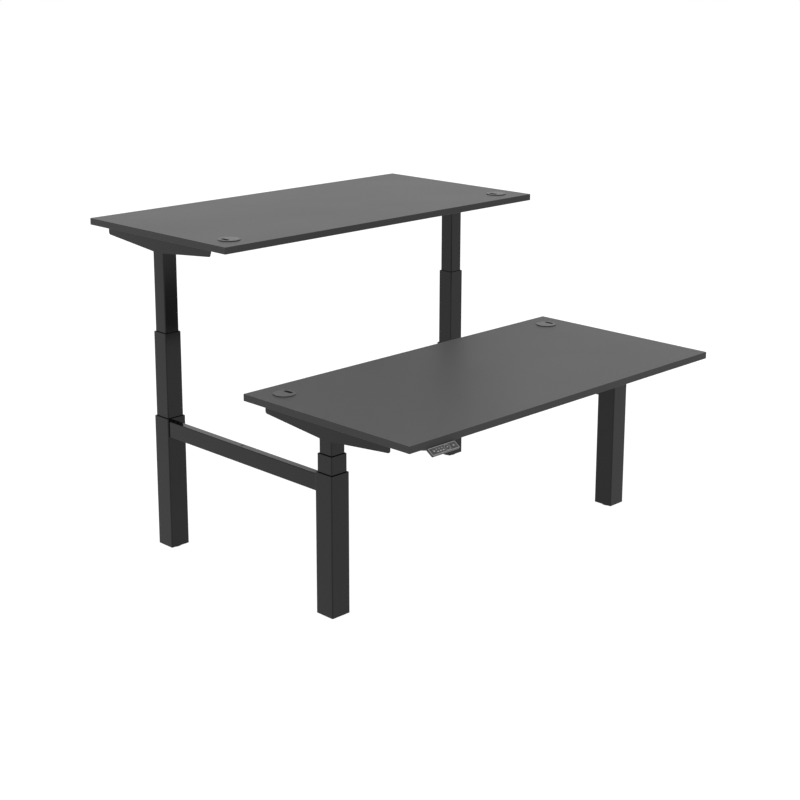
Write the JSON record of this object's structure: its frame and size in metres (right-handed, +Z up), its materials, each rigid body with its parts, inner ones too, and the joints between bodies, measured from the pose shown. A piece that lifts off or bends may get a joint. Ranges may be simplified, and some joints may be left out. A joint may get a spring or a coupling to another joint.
{
  "type": "height adjustable desk",
  "caption": "Back-to-back pair of height adjustable desks on square three-stage columns, each top lifting alone, with cable outlets and a key handset.",
  "frame": {"origin": "on the floor, at the centre of the pair's footprint", "axes": "+Z up, +X along the desktops to the right seen from the front desk's user, +Y from the front desk to the rear desk"},
  "size_m": [1.6, 1.7358, 1.2035],
  "materials": {
    "desktop_laminate": "fine-textured dark grey laminate on board",
    "frame_paint": "semi-gloss black powder coat on steel",
    "glide_plastic": "black acetal",
    "fastener_steel": "black zinc plated steel",
    "machine_steel": "bright rolled steel",
    "motor_can": "satin grey paint",
    "foot_plastic": "black moulded nylon",
    "grommet_plastic": "fine-grained dark grey plastic",
    "case_plastic": "fine-grained black plastic",
    "key_plastic": "satin dark plastic"
  },
  "bodies": {
    "frame": {"outer_tube_front_left": "frame_paint", "outer_tube_front_right": "frame_paint", "outer_tube_rear_left": "frame_paint", "outer_tube_rear_right": "frame_paint", "crossbeam_left": "frame_paint", "crossbeam_right": "frame_paint", "crossbeam_screws": "fastener_steel", "base_posts": "machine_steel", "levelling_feet": "foot_plastic", "outer_glides": "glide_plastic"},
    "front_middle_stage": {"middle_tube_front_left": "frame_paint", "middle_tube_front_right": "frame_paint", "front_middle_glides": "glide_plastic", "front_nut_tubes": "machine_steel"},
    "front_desk": {"front_desktop": "desktop_laminate", "support_arm_front_left": "frame_paint", "support_arm_front_right": "frame_paint", "front_rails": "frame_paint", "front_inner_tubes": "frame_paint", "front_inner_glides": "glide_plastic", "front_motors": "motor_can", "front_control_box": "case_plastic", "front_handset_case": "case_plastic", "front_wood_screws": "fastener_steel", "front_head_bolts": "fastener_steel", "front_grommet_rings": "grommet_plastic"},
    "drive_screw_front_left": {"drive_screw_front_left": "machine_steel"},
    "hollow_screw_front_left": {"hollow_screw_front_left": "machine_steel"},
    "drive_screw_front_right": {"drive_screw_front_right": "machine_steel"},
    "hollow_screw_front_right": {"hollow_screw_front_right": "machine_steel"},
    "grommet_lid_front_left": {"grommet_lid_front_left": "grommet_plastic"},
    "grommet_lid_front_right": {"grommet_lid_front_right": "grommet_plastic"},
    "front_key_down": {"front_key_down": "key_plastic"},
    "front_key_store": {"front_key_store": "key_plastic"},
    "front_key_up": {"front_key_up": "key_plastic"},
    "rear_middle_stage": {"middle_tube_rear_left": "frame_paint", "middle_tube_rear_right": "frame_paint", "rear_middle_glides": "glide_plastic", "rear_nut_tubes": "machine_steel"},
    "rear_desk": {"rear_desktop": "desktop_laminate", "support_arm_rear_left": "frame_paint", "support_arm_rear_right": "frame_paint", "rear_rails": "frame_paint", "rear_inner_tubes": "frame_paint", "rear_inner_glides": "glide_plastic", "rear_motors": "motor_can", "rear_control_box": "case_plastic", "rear_handset_case": "case_plastic", "rear_wood_screws": "fastener_steel", "rear_head_bolts": "fastener_steel", "rear_grommet_rings": "grommet_plastic"},
    "drive_screw_rear_left": {"drive_screw_rear_left": "machine_steel"},
    "hollow_screw_rear_left": {"hollow_screw_rear_left": "machine_steel"},
    "drive_screw_rear_right": {"drive_screw_rear_right": "machine_steel"},
    "hollow_screw_rear_right": {"hollow_screw_rear_right": "machine_steel"},
    "grommet_lid_rear_right": {"grommet_lid_rear_right": "grommet_plastic"},
    "grommet_lid_rear_left": {"grommet_lid_rear_left": "grommet_plastic"},
    "rear_key_down": {"rear_key_down": "key_plastic"},
    "rear_key_store": {"rear_key_store": "key_plastic"},
    "rear_key_up": {"rear_key_up": "key_plastic"}
  },
  "joints": [
    {"name": "front_lift", "type": "slide", "parent": "frame", "child": "front_desk", "axis": [0, 0, 1], "range_m": [-0.08, 0.57]},
    {"name": "front_middle_slide", "type": "slide", "parent": "frame", "child": "front_middle_stage", "axis": [0, 0, 1], "range_m": [-0.0413, 0.2912]},
    {"name": "drive_screw_front_left_turn", "type": "hinge", "parent": "front_desk", "child": "drive_screw_front_left", "pos_m": [-0.756, -0.44, 0.3], "axis": [0, 0, 1], "continuous": true},
    {"name": "hollow_screw_front_left_turn", "type": "hinge", "parent": "front_middle_stage", "child": "hollow_screw_front_left", "pos_m": [-0.756, -0.44, 0.3], "axis": [0, 0, 1], "continuous": true},
    {"name": "drive_screw_front_right_turn", "type": "hinge", "parent": "front_desk", "child": "drive_screw_front_right", "pos_m": [0.756, -0.44, 0.3], "axis": [0, 0, 1], "continuous": true},
    {"name": "hollow_screw_front_right_turn", "type": "hinge", "parent": "front_middle_stage", "child": "hollow_screw_front_right", "pos_m": [0.756, -0.44, 0.3], "axis": [0, 0, 1], "continuous": true},
    {"name": "grommet_lid_front_left_turn", "type": "hinge", "parent": "front_desk", "child": "grommet_lid_front_left", "pos_m": [-0.7, -0.14, 0.7], "axis": [0, 0, 1], "continuous": true},
    {"name": "grommet_lid_front_right_turn", "type": "hinge", "parent": "front_desk", "child": "grommet_lid_front_right", "pos_m": [0.7, -0.14, 0.7], "axis": [0, 0, 1], "continuous": true},
    {"name": "front_key_down_press", "type": "slide", "parent": "front_desk", "child": "front_key_down", "axis": [0, 0.5592, -0.829], "range_m": [0, 0.0006], "stiffness_N_per_m": 900, "springref_m": -0.0004},
    {"name": "front_key_store_press", "type": "slide", "parent": "front_desk", "child": "front_key_store", "axis": [0, 0.5592, -0.829], "range_m": [0, 0.0006], "stiffness_N_per_m": 900, "springref_m": -0.0004},
    {"name": "front_key_up_press", "type": "slide", "parent": "front_desk", "child": "front_key_up", "axis": [0, 0.5592, -0.829], "range_m": [0, 0.0006], "stiffness_N_per_m": 900, "springref_m": -0.0004},
    {"name": "rear_lift", "type": "slide", "parent": "frame", "child": "rear_desk", "axis": [0, 0, 1], "range_m": [-0.58, 0.07]},
    {"name": "rear_middle_slide", "type": "slide", "parent": "frame", "child": "rear_middle_stage", "axis": [0, 0, 1], "range_m": [-0.2963, 0.0362]},
    {"name": "drive_screw_rear_left_turn", "type": "hinge", "parent": "rear_desk", "child": "drive_screw_rear_left", "pos_m": [-0.756, 0.44, 0.3], "axis": [0, 0, 1], "continuous": true},
    {"name": "hollow_screw_rear_left_turn", "type": "hinge", "parent": "rear_middle_stage", "child": "hollow_screw_rear_left", "pos_m": [-0.756, 0.44, 0.3], "axis": [0, 0, 1], "continuous": true},
    {"name": "drive_screw_rear_right_turn", "type": "hinge", "parent": "rear_desk", "child": "drive_screw_rear_right", "pos_m": [0.756, 0.44, 0.3], "axis": [0, 0, 1], "continuous": true},
    {"name": "hollow_screw_rear_right_turn", "type": "hinge", "parent": "rear_middle_stage", "child": "hollow_screw_rear_right", "pos_m": [0.756, 0.44, 0.3], "axis": [0, 0, 1], "continuous": true},
    {"name": "grommet_lid_rear_right_turn", "type": "hinge", "parent": "rear_desk", "child": "grommet_lid_rear_right", "pos_m": [0.7, 0.14, 1.2], "axis": [0, 0, 1], "continuous": true},
    {"name": "grommet_lid_rear_left_turn", "type": "hinge", "parent": "rear_desk", "child": "grommet_lid_rear_left", "pos_m": [-0.7, 0.14, 1.2], "axis": [0, 0, 1], "continuous": true},
    {"name": "rear_key_down_press", "type": "slide", "parent": "rear_desk", "child": "rear_key_down", "axis": [0, -0.5592, -0.829], "range_m": [0, 0.0006], "stiffness_N_per_m": 900, "springref_m": -0.0004},
    {"name": "rear_key_store_press", "type": "slide", "parent": "rear_desk", "child": "rear_key_store", "axis": [0, -0.5592, -0.829], "range_m": [0, 0.0006], "stiffness_N_per_m": 900, "springref_m": -0.0004},
    {"name": "rear_key_up_press", "type": "slide", "parent": "rear_desk", "child": "rear_key_up", "axis": [0, -0.5592, -0.829], "range_m": [0, 0.0006], "stiffness_N_per_m": 900, "springref_m": -0.0004}
  ],
  "couplings": [
    {"joint": "front_middle_slide", "follows": "front_lift", "ratio": 0.51},
    {"joint": "drive_screw_front_left_turn", "follows": "front_lift", "rad_per_m": 320.44},
    {"joint": "hollow_screw_front_left_turn", "follows": "front_lift", "rad_per_m": 320.44},
    {"joint": "drive_screw_front_right_turn", "follows": "front_lift", "rad_per_m": 320.44},
    {"joint": "hollow_screw_front_right_turn", "follows": "front_lift", "rad_per_m": 320.44},
    {"joint": "rear_middle_slide", "follows": "rear_lift", "ratio": 0.51},
    {"joint": "drive_screw_rear_left_turn", "follows": "rear_lift", "rad_per_m": 320.44},
    {"joint": "hollow_screw_rear_left_turn", "follows": "rear_lift", "rad_per_m": 320.44},
    {"joint": "drive_screw_rear_right_turn", "follows": "rear_lift", "rad_per_m": 320.44},
    {"joint": "hollow_screw_rear_right_turn", "follows": "rear_lift", "rad_per_m": 320.44}
  ]
}
